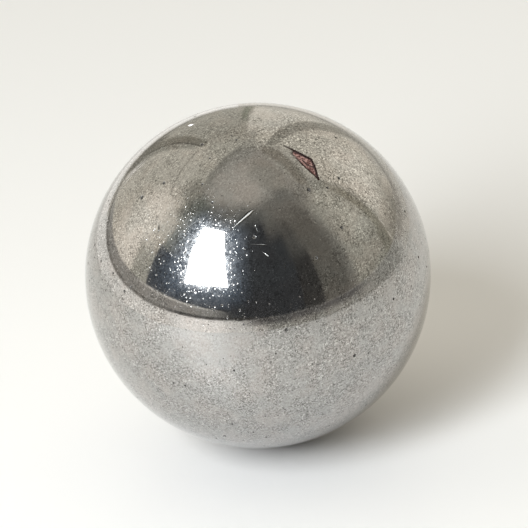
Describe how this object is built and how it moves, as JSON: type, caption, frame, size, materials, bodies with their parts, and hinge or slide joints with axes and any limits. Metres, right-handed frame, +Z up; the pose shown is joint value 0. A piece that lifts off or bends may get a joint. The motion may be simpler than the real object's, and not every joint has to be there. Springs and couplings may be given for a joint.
{
  "type": "steel ball",
  "caption": "Solid steel ball with a polished, worn surface, a lens-shaped rusty spall near the top and a scatter of fine pits.",
  "frame": {"origin": "the ball's centre", "axes": "+Z up, -Y towards the side that the spall and the long scratch are seen from, +X to the right of that side"},
  "size_m": [0.025, 0.025, 0.025],
  "materials": {
    "worn_steel": "polished bearing steel dulled by use: fine grey pitting, hairline scratches and a rust-brown stain in the spall"
  },
  "bodies": {
    "root": {"ball": "worn_steel"}
  },
  "joints": []
}
